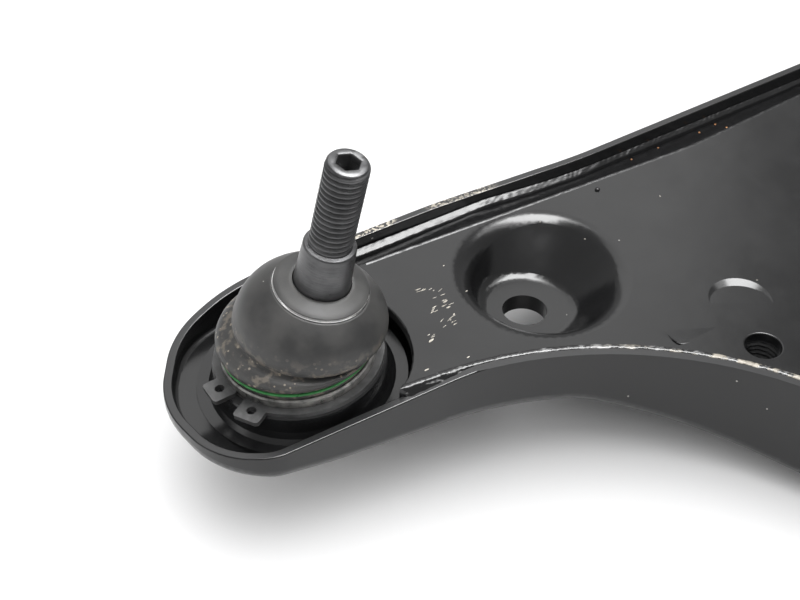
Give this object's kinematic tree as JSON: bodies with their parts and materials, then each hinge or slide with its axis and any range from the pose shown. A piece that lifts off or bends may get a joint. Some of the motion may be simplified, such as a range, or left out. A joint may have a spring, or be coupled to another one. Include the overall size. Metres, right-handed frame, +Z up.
{
  "type": "control arm",
  "caption": "Pressed two-shell steel front lower control arm with a circlip-held ball joint, dust boot, bolt dimple, threaded fixing and two rubber bushes.",
  "frame": {"origin": "centre of the front bush bore", "axes": "+X inboard, +Y vehicle forward along the front bush bore, +Z up along the rear bush bore"},
  "size_m": [0.425, 0.367, 0.1292],
  "materials": {
    "e_coat": "glossy black electrophoretic coat, chipped on the cut edges",
    "weld": "rippled weld bead under the black coat",
    "nut": "black coated weld nut",
    "housing": "black coated forging with a worn bare rim",
    "circlip": "black phosphated spring steel",
    "green_ring": "green coated wire",
    "bright_ring": "bare bright steel edge",
    "boot_rubber": "satin black rubber, dusty in the lower fold",
    "bush_rubber": "matt black rubber",
    "race": "natural acetal",
    "stud": "dark phosphated steel",
    "sleeve": "black coated steel tube",
    "core": "machined aluminium tube"
  },
  "bodies": {
    "arm": {"lower_shell": "e_coat", "upper_shell": "e_coat", "front_seam": "weld", "rear_seam": "weld", "inner_seam": "weld", "front_eye": "e_coat", "rear_eye": "e_coat", "front_eye_weld_top": "weld", "front_eye_weld_under": "weld", "rear_eye_weld_top": "weld", "rear_eye_weld_under": "weld", "weld_nut": "nut", "joint_housing": "housing", "joint_race": "race", "joint_cover": "housing", "circlip": "circlip", "boot_lower_ring": "green_ring", "front_sleeve": "sleeve", "front_rubber": "bush_rubber", "rear_sleeve": "sleeve", "rear_rubber": "bush_rubber"},
    "front_core": {"front_core": "core"},
    "rear_core": {"rear_core": "core"},
    "boot": {"dust_boot": "boot_rubber"},
    "boot_collar": {"boot_top_ring": "bright_ring"},
    "stud": {"ball_stud": "stud"}
  },
  "joints": [
    {"name": "stud_swing", "type": "hinge", "parent": "arm", "child": "boot", "pos_m": [-0.35501, -0.0504, 0.01105], "axis": [0.6051, 0.7934, 0.0668], "range_deg": [-38, 9], "deforming": ["dust_boot"]},
    {"name": "stud_sway", "type": "hinge", "parent": "boot", "child": "boot_collar", "pos_m": [-0.35501, -0.0504, 0.01105], "axis": [0.7903, -0.5883, -0.1714], "range_deg": [-14, 14]},
    {"name": "stud_spin", "type": "hinge", "parent": "boot_collar", "child": "stud", "pos_m": [-0.35501, -0.0504, 0.01105], "axis": [0.0967, -0.1565, 0.9829], "continuous": true},
    {"name": "front_bush_twist", "type": "hinge", "parent": "arm", "child": "front_core", "pos_m": [0, 0, 0], "axis": [0, 1, 0], "range_deg": [-20, 20], "stiffness_Nm_per_rad": 2},
    {"name": "rear_bush_twist", "type": "hinge", "parent": "arm", "child": "rear_core", "pos_m": [-0.058, -0.3, 0], "axis": [0, 0, 1], "range_deg": [-10, 10], "stiffness_Nm_per_rad": 2}
  ]
}
